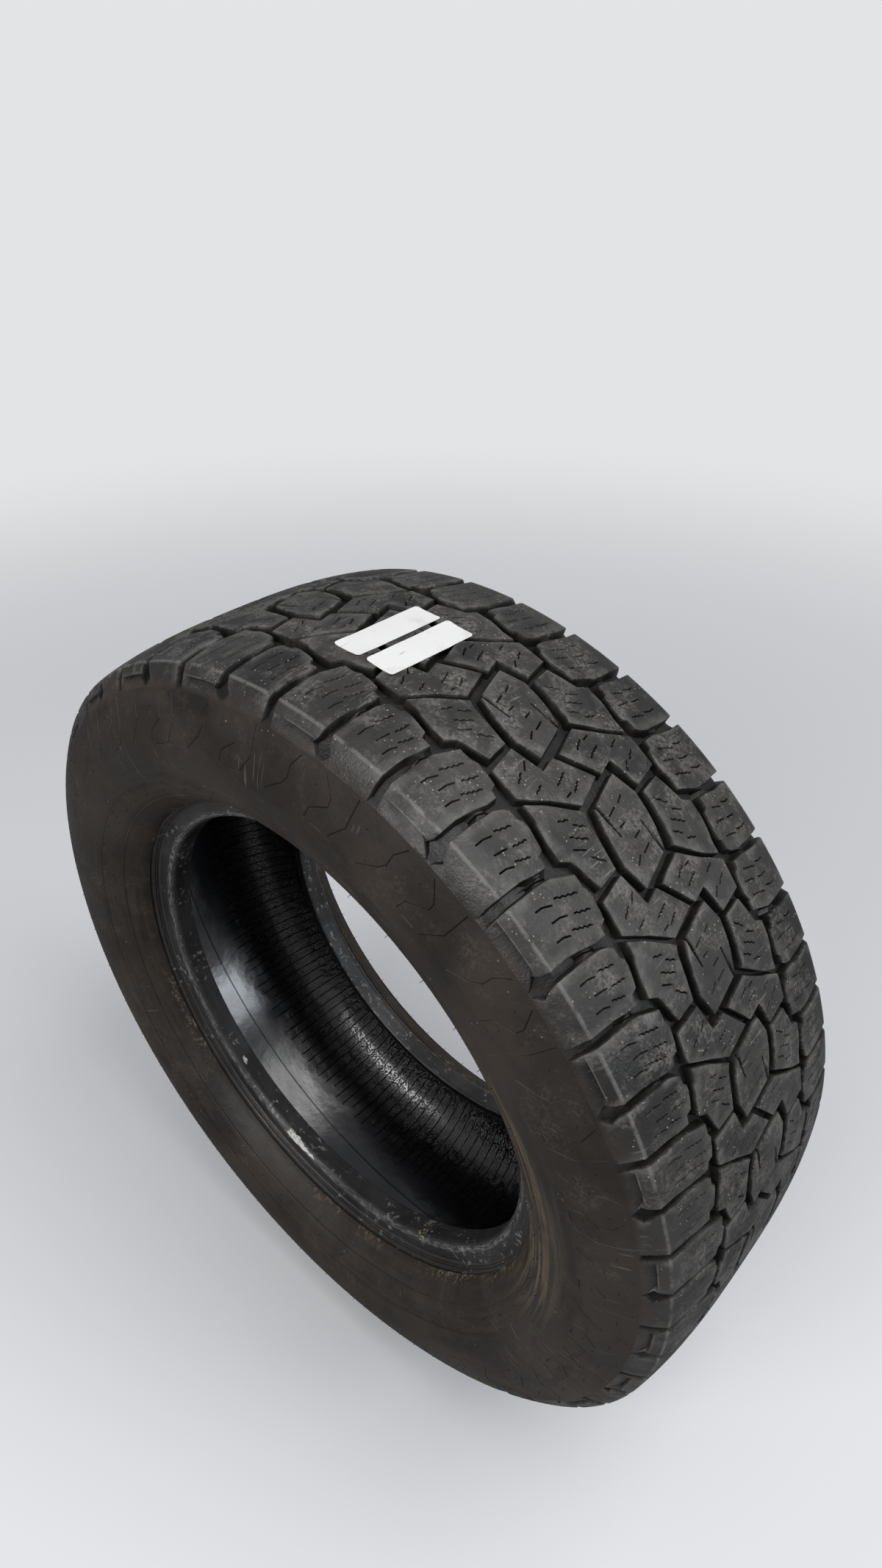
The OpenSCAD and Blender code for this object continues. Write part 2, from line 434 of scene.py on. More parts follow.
def grid_points(blocks, cuts):
    """Points in staggered rows between the lines, where none of the lines is near."""
    grid = np.array([(s, u) for i, u in enumerate(np.arange(5, REPEAT - 3, GRID[1]))
                     for s in np.arange(-DOMAIN + 5 + GRID[0] / 2 * (i % 2), DOMAIN - 4, GRID[0])])
    rings = [[(side * s, -9), (side * s, REPEAT + 9)] for side in (-1, 1)
             for s in (TREAD_HALF, STEP_S[0], GROOVE_END)]
    clear = distance_to(grid, [line for line, _, _ in cuts], False) > CUT_CLEAR
    clear &= distance_to(grid, [line for line, _ in blocks], True) > BLOCK_CLEAR
    clear &= distance_to(grid, rings, False) > RING_CLEAR
    return grid[clear]


def repeat_drawing():
    """Triangles over one repeat of the drawing, with the points' heights and blocks."""
    blocks = shifted(BLOCKS)
    cuts = [(line, w, d) for raw, w, d in all_cuts() for line, _ in shifted([raw])]
    coords, edges = drawing_lines(blocks, cuts)
    coords.extend(tuple(point) for point in grid_points(blocks, cuts))
    verts, _, faces, _, _, _ = delaunay_2d_cdt([Vector(p) for p in coords], edges, [], 0, 1e-4, False)
    points = np.array([tuple(v) for v in verts])
    triangles = np.array([f for f in faces if len(f) == 3])
    middle = points[triangles].mean(axis=1)
    keep = (middle[:, 1] > 0) & (middle[:, 1] < REPEAT) & (np.abs(middle[:, 0]) < DOMAIN)
    triangles = triangles[keep]
    used = np.unique(triangles)
    renumber = np.full(len(points), -1)
    renumber[used] = np.arange(len(used))
    points, triangles = points[used], renumber[triangles]
    height, sd, number = heights(points, blocks, cuts)
    return points, triangles, height, sd, number


def place(s, u, height):
    """Points in metres of places on the skin, raised by a height."""
    y, r = skin(s)
    ny, nr = skin_normal(s)
    y, r = y + ny * height, r + nr * height
    angle = angle_at(u)
    xyz = np.stack([r * np.sin(angle), y, r * np.cos(angle)], axis=1) * MM
    xyz[:, 2] = np.maximum(xyz[:, 2], FOOT_Z)
    return xyz


def rings_with(raised, line):
    """The line with fine ridges let into it at some radii."""
    made = []
    for a, b in zip(line, line[1:]):
        made.append(a)
        for r in raised:
            if min(a[1], b[1]) < r < max(a[1], b[1]):
                y = a[0] + (b[0] - a[0]) * (r - a[1]) / (b[1] - a[1])
                out = 0.35 if y > 0 else -0.35
                made += [(y, r + 0.9), (y + out, r), (y, r - 0.9)]
    return made + [line[-1]]


def hidden_profile():
    """The rest of the section from one edge of the drawing to the other, with a zone for each
    ring: the lower sidewall, the bead and the liner."""
    lower = [(y, r) for s, (y, r) in zip(side_s, SIDEWALL) if s > DOMAIN + 2]
    start = tuple(float(v) for v in skin(np.array(DOMAIN)))
    side = rings_with(FINE_RINGS, [start] + lower)
    right = [(p, SIDE_ZONE) for p in side]
    right += [(p, BEAD_ZONE) for p in RIM_LINE + BEAD_FOOT]
    right += [(p, LINER_ZONE) for p in LINER[:-1] + SEAM]
    left = [((-y, r), zone) for (y, r), zone in right[-2::-1]]
    zones = [zone for _, zone in right] + [zone for _, zone in left]
    # A ring of faces takes the zone of the part that it leads into.
    return [p for p, _ in right + left], [max(a, b) for a, b in zip(zones, zones[1:])]


def ring_points(profile, angles):
    """Points of the rings that carry the section round the tyre, flat at the foot."""
    rings = []
    for y, r in profile:
        ring = np.stack([r * np.sin(angles), np.full(len(angles), y), r * np.cos(angles)], axis=1) * MM
        ring[:, 2] = np.maximum(ring[:, 2], FOOT_Z)
        rings.append(ring)
    return np.concatenate(rings)


def ring_faces(first, rings, count):
    """Faces between each ring and the next, from the first ring's first point."""
    faces = []
    for i in range(rings - 1):
        for j in range(count):
            a, b = first + i * count + j, first + i * count + (j + 1) % count
            faces.append((a, b, b + count, a + count))
    return faces


def build_tyre():
    """The whole tyre as one closed mesh, with the values that its materials read and its zones."""
    points, triangles, height, sd, block = repeat_drawing()
    all_xyz, all_tris, tone = [], [], []
    for k in range(REPEATS):
        all_xyz.append(place(points[:, 0], points[:, 1] + k * REPEAT, height))
        all_tris.append(triangles + k * len(points))
        number = (block + len(BLOCKS) * (k + 1)) % (len(BLOCKS) * REPEATS)
        tone.append(np.modf(np.abs(np.sin(number * 12.9898)) * 43758.5453)[0])
    faces = [tuple(int(i) for i in t) for t in np.concatenate(all_tris)]
    middle = np.abs(points[triangles].mean(axis=1)[:, 0])
    zones = list(np.tile(np.where(middle < GROOVE_END, TREAD_ZONE, SIDE_ZONE), REPEATS))
    profile, ring_zones = hidden_profile()
    angles = angle_at(np.arange(REPEATS * COLUMNS) * REPEAT / COLUMNS)
    faces += ring_faces(REPEATS * len(points), len(profile), len(angles))
    zones += list(np.repeat(ring_zones, len(angles)))
    xyz = np.concatenate(all_xyz + [ring_points(profile, angles)])
    mesh = bpy.data.meshes.new("worn_tyre")
    mesh.from_pydata([tuple(p) for p in xyz], [], faces)
    rest = len(profile) * len(angles)
    # 1 on the block tops, down to 0 at a groove's full depth; the materials paint shade into the low
    # places by it
    top = np.clip(height / GROOVE_DEPTH + 1, 0, 1)
    rim = np.where(sd < 0, np.clip(1 + sd / 2.5, 0, 1), 0)
    for name, values, elsewhere in (("worn", top, 1.0), ("edge", rim, 0.0),
                                    ("across", np.abs(points[:, 0]), 400.0),
                                    ("stepped", stepped(points), 0.0)):
        add_values(mesh, name, np.concatenate([np.tile(values, REPEATS), np.full(rest, elsewhere)]))
    add_values(mesh, "tone", np.concatenate(tone + [np.full(rest, 0.5)]))
    mesh.polygons.foreach_set("material_index", np.array(zones, dtype=np.int32))
    close_up(mesh)
    return add_piece(mesh)


def add_values(mesh, name, values):
    """Store a number for each vertex, for the materials to read."""
    attribute = mesh.attributes.new(name, "FLOAT", "POINT")
    attribute.data.foreach_set("value", values.astype(np.float32))


def close_up(mesh, crisp_deg=32):
    """Join the parts of the mesh where they meet, and shade it smooth between crisp edges."""
    shape = bmesh.new()
    shape.from_mesh(mesh)
    bmesh.ops.remove_doubles(shape, verts=shape.verts, dist=0.02 * MM)
    bmesh.ops.recalc_face_normals(shape, faces=shape.faces)
    open_edges = sum(1 for e in shape.edges if len(e.link_faces) != 2)
    shape.to_mesh(mesh)
    shape.free()
    print(mesh.name, sum(len(p.vertices) - 2 for p in mesh.polygons), "triangles,",
          open_edges, "open edges")
    for polygon in mesh.polygons:
        polygon.use_smooth = True
    mesh.set_sharp_from_angle(angle=math.radians(crisp_deg))


def add_piece(mesh):
    """An object for the mesh, riding on the tyre's one body."""
    piece = bpy.data.objects.new(mesh.name, mesh)
    bpy.context.scene.collection.objects.link(piece)
    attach(piece, "root")
    return piece


tyre = build_tyre()
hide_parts("tyre")


# ---------------- small moulded details
def build_liner_ridges():
    """The fine ridges that the curing bladder leaves across both sides of the liner."""
    count, half, height, root = 200, 0.9, 0.9, 0.4
    first_r, last_y = 262, 46
    line = [p for p in LINER if p[1] > first_r and p[0] > last_y]
    long_line = np.array(line + [(42, 371.8), (34, 371.9), (26, 371.97)])
    verts, faces = [], []
    for side in (-1, 1):
        for i in range(count):
            spot = noise.noise(Vector((i * 0.7, side * 3.0, 0.5)))
            profile = long_line[:-1] if i % 3 == 0 else long_line
            angle = math.radians(i * 360 / count + 0.12 * spot)
            first = len(verts)
            for j, (y, r) in enumerate(profile):
                a, b = profile[max(j - 1, 0)], profile[min(j + 1, len(profile) - 1)]
                along = (b - a) / np.hypot(*(b - a))
                inward = np.array([-along[1], along[0]])
                tip = np.array([y, r]) + inward * (-root / 2 if j in (0, len(profile) - 1) else height)
                foot = np.array([y, r]) - inward * root
                for (py, pr), turn in ((foot, -half), (tip, 0.0), (foot, half)):
                    at = angle + turn / pr
                    verts.append((pr * math.sin(at) * MM, side * py * MM, pr * math.cos(at) * MM))
            rows = len(profile)
            for j in range(rows - 1):
                for k in range(3):
                    a, b = first + 3 * j + k, first + 3 * j + (k + 1) % 3
                    faces.append((a, b, b + 3, a + 3))
            faces += [(first, first + 1, first + 2), tuple(first + 3 * rows - 1 - k for k in range(3))]
    mesh = bpy.data.meshes.new("liner_ridges")
    mesh.from_pydata(verts, [], faces)
    close_up(mesh)
    return add_piece(mesh)


# No stub stands lower than this over the foot
FOOT_CLEAR = 9
# Vents on the sidewall in each half repeat: place from the shoulder, place along, length
VENTS = ((36, 9, 1.4), (46, 37, 0.8), (56, 20, 0.9), (26, 43, 0.7), (102, 30, 2.0), (112, 12, 3.0))


def build_vent_pips():
    """Stubs of rubber that the mould's vents leave on both sidewalls."""
    verts, faces = [], []
    for side in (-1, 1):
        for i in range(REPEATS * 2):
            for s, u, reach in VENTS:
                lean = 0.8 * np.array([noise.noise(Vector((i * 1.7, s + 0.37 * k, side * 2.6)))
                                       for k in (1, 2, 3)])
                y, r = skin(np.array([side * (TREAD_HALF + s)]))
                ny, nr = skin_normal(np.array([side * (TREAD_HALF + s)]))
                angle = angle_at(np.array([(i + 0.02 * lean[0]) * REPEAT / 2 + u]))[0]
                root = np.array([r[0] * math.sin(angle), y[0], r[0] * math.cos(angle)])
                out = np.array([nr[0] * math.sin(angle), ny[0], nr[0] * math.cos(angle)])
                if root[2] < FOOT_Z / MM + FOOT_CLEAR:
                    continue
                across = np.cross(out, (0.3, 0.1, 0.95))
                across /= np.linalg.norm(across)
                up = np.cross(out, across)
                first = len(verts)
                foot = root - out * 0.5
                tip = root + (out + lean * 0.4) * reach
                for at, radius in ((foot, 0.55 if reach < 2 else 0.3), (tip, 0.16)):
                    for k in range(5):
                        turn = across * math.cos(k * math.tau / 5) + up * math.sin(k * math.tau / 5)
                        verts.append(tuple((at + turn * radius) * MM))
                for k in range(5):
                    a, b = first + k, first + (k + 1) % 5
                    faces.append((a, b, b + 5, a + 5))
                faces += [tuple(range(first + 4, first - 1, -1)), tuple(range(first + 5, first + 10))]
    mesh = bpy.data.meshes.new("vent_pips")
    mesh.from_pydata(verts, [], faces)
    close_up(mesh)
    return add_piece(mesh)


ridges = build_liner_ridges()
pips = build_vent_pips()


# ---------------- paper
# A stock label's width, height and corner radius, and the thickness of each kind of paper
LABEL = (86, 27.5, 3)
LABEL_T = 0.3
SCRAP_T = 0.2


def sheet(name, outline, spacing, lay, thickness):
    """A thin sheet with a given outline, laid on the tyre by a function of its flat place."""
    ring = resampled(outline, spacing)
    count = len(ring)
    flat = np.array(ring)
    low, high = flat.min(axis=0), flat.max(axis=0)
    inner = [(x, u) for x in np.arange(low[0] + spacing / 2, high[0], spacing)
             for u in np.arange(low[1] + spacing / 2, high[1], spacing)]
    inner = np.array(inner)
    keep = inside(inner, ring) & (distance_to(inner, [ring], True) > spacing * 0.4)
    coords = [Vector(p) for p in ring] + [Vector(p) for p in inner[keep]]
    edges = [(i, (i + 1) % count) for i in range(count)]
    verts, _, faces, _, _, _ = delaunay_2d_cdt(coords, edges, [], 1, 1e-4, False)
    points = np.array([tuple(v) for v in verts])
    middle = points[np.array(faces)].mean(axis=1)
    faces = [f for f, within in zip(faces, inside(middle, ring)) if within]
    top, bottom = lay(points, thickness), lay(points, 0.0)
    total = len(points)
    solid = [tuple(f) for f in faces] + [tuple(i + total for i in f[::-1]) for f in faces]
    sides = {(f[i], f[(i + 1) % 3]) for f in faces for i in range(3)}
    rim = sorted((a, b) for a, b in sides if (b, a) not in sides)
    solid += [(b, a, a + total, b + total) for a, b in rim]
    mesh = bpy.data.meshes.new(name)
    mesh.from_pydata([tuple(p) for p in np.concatenate([top, bottom])], [], solid)
    close_up(mesh, 40)
    piece = add_piece(mesh)
    return piece


def rounded(width, height, radius):
    """The outline of a label with round corners."""
    line = []
    for sx, su, start in ((1, 1, 0), (-1, 1, 90), (-1, -1, 180), (1, -1, 270)):
        for step in range(5):
            a = math.radians(start + 22.5 * step)
            line.append((sx * (width / 2 - radius) + radius * math.cos(a),
                         su * (height / 2 - radius) + radius * math.sin(a)))
    return line


def label_lay(node, turn_deg, seed):
    """How a stock label lies: slightly turned, sagging between blocks, with lifted corners."""
    low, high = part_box(node)
    middle_y = (low[1] + high[1]) / 2 / MM
    middle_angle = math.atan2((low[0] + high[0]) / 2, (low[2] + high[2]) / 2)
    turn = math.radians(turn_deg)
    highest = cad_box[1][2] / MM - LABEL_T
    sunk, corner_rise = 0.25, 2.4

    def lay(points, thickness):
        across = points[:, 0] * math.cos(turn) - points[:, 1] * math.sin(turn)
        along = points[:, 0] * math.sin(turn) + points[:, 1] * math.cos(turn)
        y = middle_y + across
        angle = middle_angle + along / CROWN_R
        sag = np.array([noise.noise(Vector((p[0] / 21, p[1] / 14, seed))) for p in points])
        corner = np.clip(np.hypot(points[:, 0] / 43, points[:, 1] / 14) - 1.02, 0, 1)
        lift = np.clip(0.12 - 0.5 * np.clip(-sag, 0, 1) + 0.25 * sag, -0.2, 0.4) + corner_rise * corner
        r = np.minimum(crown_at(y) + np.maximum(lift, 0.02) - sunk, highest) + thickness
        return np.stack([r * np.sin(angle), y, r * np.cos(angle)], axis=1) * MM

    return lay


def bead_lay(middle_deg, middle_b, reach):
    """How a scrap lies on the near bead: b runs from the rim line over the heel to the toe."""
    line = np.array([(98.6, 242.0)] + arc(91, SEAT_R + 7, 7, 0, -90, 6) + [(84, SEAT_R), (77, SEAT_R)])
    run = np.concatenate([[0], np.cumsum(np.hypot(*np.diff(line, axis=0).T))])

    def lay(points, thickness):
        b = middle_b + points[:, 1]
        slope = np.gradient(line, run, axis=0)
        ny, nr = np.interp(b, run, -slope[:, 1]), np.interp(b, run, slope[:, 0])
        size = np.hypot(ny, nr)
        ruck = np.array([noise.noise(Vector((p[0] / 5, p[1] / 3, reach))) for p in points])
        raised = 0.12 + thickness + reach * np.clip(ruck, 0, 1)
        y = np.interp(b, run, line[:, 0]) + ny / size * raised
        r = np.interp(b, run, line[:, 1]) + nr / size * raised
        angle = math.radians(middle_deg) + points[:, 0] / SEAT_R
        return np.stack([r * np.sin(angle), -y, r * np.cos(angle)], axis=1) * MM

    return lay


REMNANT = [(-22, -1.2), (-15, -2.6), (-9, -1.9), (-5, -3.4), (2, -2.8), (6, -4.2), (13, -3.6),
           (19, -4.4), (22, -2.2), (20.5, 0.6), (21.5, 3.4), (15, 4.2), (12, 2.6), (7, 4.4),
           (3, 2.8), (-1, 3.3), (-4, 0.8), (-8, 1.9), (-12, 0.2), (-17, 1.1)]
SCRAP = [(-5.2, -1.6), (-1, -2.4), (3.2, -1.2), (5.4, 1.2), (2, 1.6), (-0.6, 2.6), (-3.8, 1.0)]
upper = sheet("upper_label_paper", rounded(*LABEL), 3.6, label_lay("upper_label", 2.0, 1.3), LABEL_T)
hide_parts("upper_label")
lower = sheet("lower_label_paper", rounded(*LABEL), 3.6, label_lay("lower_label", 1.6, 7.9), LABEL_T)
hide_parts("lower_label")
remnant = sheet("bead_label_remnant", REMNANT, 1.6, bead_lay(195, 11.5, 0.35), SCRAP_T)
scrap = sheet("bead_paper_scrap", SCRAP, 1.2, bead_lay(223, 19.5, 0.5), SCRAP_T)


# ---------------- materials
class Surface:
    """A material's node tree, written in short calls."""

    def __init__(self, name, specular):
        self.material = bpy.data.materials.new(name)
        self.material.use_nodes = True
        self.tree = self.material.node_tree
        self.shader = self.tree.nodes["Principled BSDF"]
        self.shader.inputs["Specular IOR Level"].default_value = specular
        coords = self.tree.nodes.new("ShaderNodeTexCoord")
        self.place = coords.outputs["Object"]
        split = self.tree.nodes.new("ShaderNodeSeparateXYZ")
        self.tree.links.new(self.place, split.inputs[0])
        self.x, self.y, self.z = split.outputs
        self.r = self.math("SQRT", self.math("ADD", self.math("MULTIPLY", self.x, self.x),
                                             self.math("MULTIPLY", self.z, self.z)))
        self.angle = self.math("ARCTAN2", self.x, self.z)

    def put(self, value, socket):
        """Link an output to a socket, or write a number or colour on it."""
        if isinstance(value, bpy.types.NodeSocket):
            self.tree.links.new(value, socket)
        elif isinstance(value, tuple):
            socket.default_value = (*value, 1)[:len(socket.default_value)]
        else:
            socket.default_value = value

    def math(self, kind, a, b=0.0):
        """One sum of two values."""
        node = self.tree.nodes.new("ShaderNodeMath")
        node.operation = kind
        self.put(a, node.inputs[0])
        self.put(b, node.inputs[1])
        return node.outputs[0]

    def stretched(self, around, across, out):
        """Coordinates round the tyre, along its axis and outward, each with its own scale."""
        node = self.tree.nodes.new("ShaderNodeCombineXYZ")
        self.put(self.math("MULTIPLY", self.angle, around * 0.35), node.inputs[0])
        self.put(self.math("MULTIPLY", self.y, across), node.inputs[1])
        self.put(self.math("MULTIPLY", self.r, out), node.inputs[2])
        return node.outputs[0]

    def noise(self, scale, detail=3.0, rough=0.55, place=None):
        """Cloudy noise, from 0 to 1."""
        node = self.tree.nodes.new("ShaderNodeTexNoise")
        self.put(place or self.place, node.inputs["Vector"])
        self.put(float(scale), node.inputs["Scale"])
        self.put(detail, node.inputs["Detail"])
        self.put(rough, node.inputs["Roughness"])
        return node.outputs[0]

    def cells(self, scale):
        """Distance from the nearest of many scattered points."""
        node = self.tree.nodes.new("ShaderNodeTexVoronoi")
        self.put(self.place, node.inputs["Vector"])
        self.put(float(scale), node.inputs["Scale"])
        return node.outputs["Distance"]

    def attribute(self, name):
        """A value that is stored on the mesh."""
        node = self.tree.nodes.new("ShaderNodeAttribute")
        node.attribute_name = name
        return node.outputs["Fac"]

    def band(self, value, low, high, start=0.0, end=1.0):
        """A smooth step from start to end as the value goes from low to high."""
        node = self.tree.nodes.new("ShaderNodeMapRange")
        node.interpolation_type = "SMOOTHSTEP"
        for number, amount in zip((0, 1, 2, 3, 4), (value, low, high, start, end)):
            self.put(amount, node.inputs[number])
        return node.outputs[0]

    def fade(self, value, low, high):
        """A smooth step down from 1 to 0."""
        return self.band(value, low, high, 1.0, 0.0)

    def away(self, value, middle):
        """How far a value is from the middle."""
        return self.math("ABSOLUTE", self.math("SUBTRACT", value, middle))

    def ring(self, name, middle, inner, outer):
        """1 on a line where an attribute has a value, fading to 0 on both sides."""
        return self.fade(self.away(self.attribute(name), middle), inner, outer)

    def mix(self, factor, a, b):
        """A colour between a and b."""
        node = self.tree.nodes.new("ShaderNodeMix")
        node.data_type = "RGBA"
        self.put(factor, node.inputs[0])
        self.put(a, node.inputs[6])
        self.put(b, node.inputs[7])
        return node.outputs[2]

    def over(self, colour, mask, amount, tone):
        """Lay part of a tone over a colour, where the mask holds."""
        return self.mix(self.math("MULTIPLY", mask, amount), colour, tone)

    def both(self, *masks):
        """Where all the masks hold."""
        result = masks[0]
        for mask in masks[1:]:
            result = self.math("MULTIPLY", result, mask)
        return result

    def finish(self, colour, roughness, *bumps):
        """Link the colour and roughness, and stack the bumps, each (height, depth in metres)."""
        self.put(colour, self.shader.inputs["Base Color"])
        self.put(roughness, self.shader.inputs["Roughness"])
        normal = None
        for height, depth in bumps:
            node = self.tree.nodes.new("ShaderNodeBump")
            self.put(height, node.inputs["Height"])
            node.inputs["Distance"].default_value = depth
            if normal:
                self.put(normal, node.inputs["Normal"])
            normal = node.outputs[0]
        if normal:
            self.put(normal, self.shader.inputs["Normal"])
        return self.material


def brown(m):
    """The brown-grey of the sidewall, in soft patches."""
    patches = m.band(m.noise(8, 5.0, 0.62), 0.38, 0.62)
    return m.mix(patches, (0.0165, 0.0128, 0.0098), (0.036, 0.027, 0.0205))


def tread_rubber():
    """Worn grey block tops with paler rims, dust, scuffs and grit, painted highlights along the shoulder
    and step edges, and groove floors painted darker as shade, with silt.
    """
    m = Surface("tread_rubber", 0.4)
    patches = m.noise(13, 5.0, 0.65)
    colour = m.mix(m.band(patches, 0.38, 0.62), (0.0132, 0.0126, 0.012), (0.0372, 0.0348, 0.0323))
    colour = m.mix(m.band(m.attribute("tone"), 0.25, 1.0, 0.0, 0.4), colour, (0.051, 0.048, 0.0445))
    dust = m.both(m.band(m.noise(36, 7.0, 0.75), 0.47, 0.63), m.band(m.noise(330, 3.0, 0.75), 0.4, 0.58))
    colour = m.over(colour, dust, 0.85, (0.14, 0.13, 0.116))
    scuffs = m.both(m.band(m.noise(0.6, 2.0, 0.5, m.stretched(900, 60, 60)), 0.6, 0.7),
                    m.band(m.noise(19), 0.5, 0.6))
    colour = m.over(colour, scuffs, 0.5, (0.19, 0.185, 0.175))
    colour = m.mix(m.band(m.attribute("across"), 84.0, 100.0, 0.0, 0.32), colour, (0.017, 0.0161, 0.0152))
    rim = m.both(m.attribute("edge"), m.band(m.noise(46, 5.0, 0.7), 0.42, 0.58))
    colour = m.over(colour, rim, 0.75, (0.14, 0.136, 0.128))
    # Pale lines along the shoulder's edge and the step's edge: painted highlight on these crisp edges,
    # partly worn rubber
    shoulder = m.ring("across", 118.0, 0.5, 2.2)
    step = m.both(m.ring("across", 127.3, 0.3, 1.0), m.attribute("stepped"))
    worn_lines = m.both(m.math("MAXIMUM", shoulder, step), m.attribute("worn"),
                        m.band(m.noise(70, 4.0, 0.7), 0.35, 0.55))
    colour = m.over(colour, worn_lines, 0.48, (0.2, 0.195, 0.186))
    grit = m.both(m.fade(m.cells(240), 0.10, 0.17), m.band(m.noise(48), 0.5, 0.58))
    colour = m.over(colour, grit, 0.7, (0.38, 0.36, 0.32))
    outer = m.both(m.band(m.attribute("across"), 119.0, 139.0),
                   m.band(m.noise(16, 4.0), 0.3, 0.55, 0.4, 0.95))
    outer = m.math("MAXIMUM", outer, m.band(m.attribute("across"), 130.0, 138.5))
    colour = m.mix(outer, colour, brown(m))
    # Painted shade in the grooves: their floors darker than the block tops, in patches of paler silt
    floor = m.fade(m.attribute("worn"), 0.6, 0.985)
    groove_shade_and_silt = m.mix(m.band(m.noise(60, 4.0), 0.45, 0.75), (0.0085, 0.008, 0.0074), (0.027, 0.0246, 0.021))
    colour = m.mix(floor, colour, groove_shade_and_silt)
    rough = m.band(m.noise(24, 5.0, 0.65), 0.38, 0.62, 0.36, 0.62)
    return m.finish(colour, rough, (m.noise(520, 3.0, 0.6), 0.0004), (scuffs, 0.0002), (patches, 0.0014))


def sidewall_rubber():
    """Brown-grey rubber with dust, dark smears, hair scratches and brown streaks at the bead."""
    m = Surface("sidewall_rubber", 0.3)
    colour = brown(m)
    smear = m.band(m.noise(5, 5.0, 0.65, m.stretched(1.2, 2, 5)), 0.53, 0.66)
    colour = m.over(colour, smear, 0.6, (0.0085, 0.0075, 0.0065))
    right = m.fade(m.away(m.angle, math.radians(78)), 0.2, 0.6)
    streaks = m.both(m.fade(m.r, 0.275, 0.318), m.math("ADD", 0.1, right),
                     m.band(m.noise(1, 5.0, 0.7, m.stretched(8, 60, 230)), 0.45, 0.6),
                     m.band(m.noise(14, 3.0), 0.3, 0.55))
    colour = m.over(colour, streaks, 0.85, (0.135, 0.1, 0.066))
    dust = m.both(m.band(m.noise(24, 6.0, 0.72), 0.5, 0.7), m.band(m.noise(310, 3.0, 0.7), 0.4, 0.65))
    colour = m.over(colour, dust, 0.45, (0.094, 0.079, 0.063))
    crumbs = m.both(m.fade(m.r, 0.252, 0.2575), m.band(m.noise(170, 5.0, 0.75), 0.5, 0.62),
                    m.band(m.noise(11, 3.0), 0.45, 0.6))
    colour = m.over(colour, crumbs, 0.9, (0.2, 0.16, 0.11))
    scratch = m.both(m.band(m.noise(1, 1.0, 0.4, m.stretched(420, 40, 30)), 0.69, 0.75),
                     m.band(m.noise(13, 2.0), 0.54, 0.62))
    colour = m.over(colour, scratch, 0.3, (0.2, 0.185, 0.16))
    grit = m.both(m.fade(m.cells(150), 0.08, 0.14), m.band(m.noise(42), 0.6, 0.66))
    colour = m.over(colour, grit, 0.6, (0.27, 0.25, 0.21))
    # Painted shade: the moulded lines, which lie lower than the skin, darkened almost to black
    line = m.fade(m.attribute("worn"), 0.935, 0.996)
    colour = m.over(colour, line, 0.85, (0.006, 0.0055, 0.005))
    rough = m.band(m.noise(16, 4.0), 0.3, 0.7, 0.44, 0.64)
    return m.finish(colour, rough, (m.noise(640, 2.0), 0.0002), (m.noise(30, 4.0), 0.0011))


def bead_rubber():
    """Smooth black rubber that the rim has polished, with pale scuffs along the heel and toe, partly a
    painted highlight on the heel's corner.
    """
    m = Surface("bead_rubber", 0.5)
    patches = m.band(m.noise(14, 5.0, 0.6), 0.38, 0.62)
    colour = m.mix(patches, (0.0135, 0.0135, 0.0139), (0.0315, 0.0306, 0.0302))
    # Pale dashes round the heel's corner: scuffs, partly a painted highlight on the corner
    heel = m.fade(m.away(m.r, 0.2335), 0.001, 0.0038)
    rubbed = m.both(heel, m.band(m.noise(1, 5.0, 0.7, m.stretched(75, 600, 1100)), 0.47, 0.58))
    colour = m.over(colour, rubbed, 0.6, (0.24, 0.24, 0.24))
    lines = m.band(m.noise(1, 4.0, 0.7, m.stretched(9, 900, 1300)), 0.56, 0.7)
    colour = m.over(colour, lines, 0.4, (0.1, 0.1, 0.1))
    chips = m.both(m.band(m.noise(150, 3.0, 0.7), 0.58, 0.64), m.band(m.noise(22, 3.0), 0.46, 0.56))
    colour = m.over(colour, chips, 0.7, (0.26, 0.25, 0.235))
    turn = m.away(m.angle, math.radians(149))
    yellow = m.both(m.fade(m.y, -0.06, -0.05), m.fade(m.r, 0.238, 0.241),
                    m.fade(turn, 0.012, 0.035), m.band(m.noise(420, 4.0, 0.7), 0.52, 0.6))
    colour = m.over(colour, yellow, 0.75, (0.38, 0.35, 0.24))
    dust = m.both(m.band(m.r, 0.243, 0.2505), m.band(m.noise(50, 4.0, 0.6), 0.3, 0.6))
    colour = m.over(colour, dust, 0.75, (0.034, 0.027, 0.021))
    rough = m.band(m.noise(18, 3.0), 0.3, 0.7, 0.3, 0.46)
    return m.finish(colour, rough, (m.noise(1, 4.0, 0.7, m.stretched(10, 600, 1100)), 0.0005),
                    (m.noise(420, 2.0), 0.00012), (m.noise(60, 3.0), 0.0005))


def liner_rubber():
    """Glossy black butyl: pebbled at the sides, smoother round the middle, with a grey bloom and a
    painted bluish sheen there.
    """
    m = Surface("liner_rubber", 1.0)
    away = m.math("ADD", m.math("ABSOLUTE", m.y), m.math("MULTIPLY", m.noise(150, 2.0), 0.006))
    middle = m.fade(away, 0.040, 0.053)
    # The middle band is painted paler and bluish: partly a grey bloom on the butyl, partly a painted
    # sheen
    bloom_and_sheen = m.both(middle, m.band(m.noise(15, 4.0, 0.6), 0.3, 0.66, 0.45, 1.0))
    colour = m.mix(bloom_and_sheen, (0.003, 0.003, 0.0033), (0.021, 0.0222, 0.0275))
    blots = m.band(m.noise(26, 5.0, 0.7), 0.62, 0.72)
    colour = m.over(colour, blots, 0.25, (0.04, 0.04, 0.04))
    rough = m.band(m.noise(22, 3.0), 0.3, 0.7, 0.15, 0.22)
    pebbles = m.both(m.fade(m.cells(560), 0.1, 0.6), m.band(middle, 0.0, 1.0, 1.0, 0.06))
    return m.finish(colour, rough, (pebbles, 0.0003), (m.noise(50, 2.0), 0.0003))


def ridge_rubber():
    """The duller ridges across the liner."""
    m = Surface("ridge_rubber", 0.35)
    return m.finish(m.mix(m.noise(60, 3.0), (0.002, 0.002, 0.002), (0.008, 0.008, 0.0085)), 0.5)


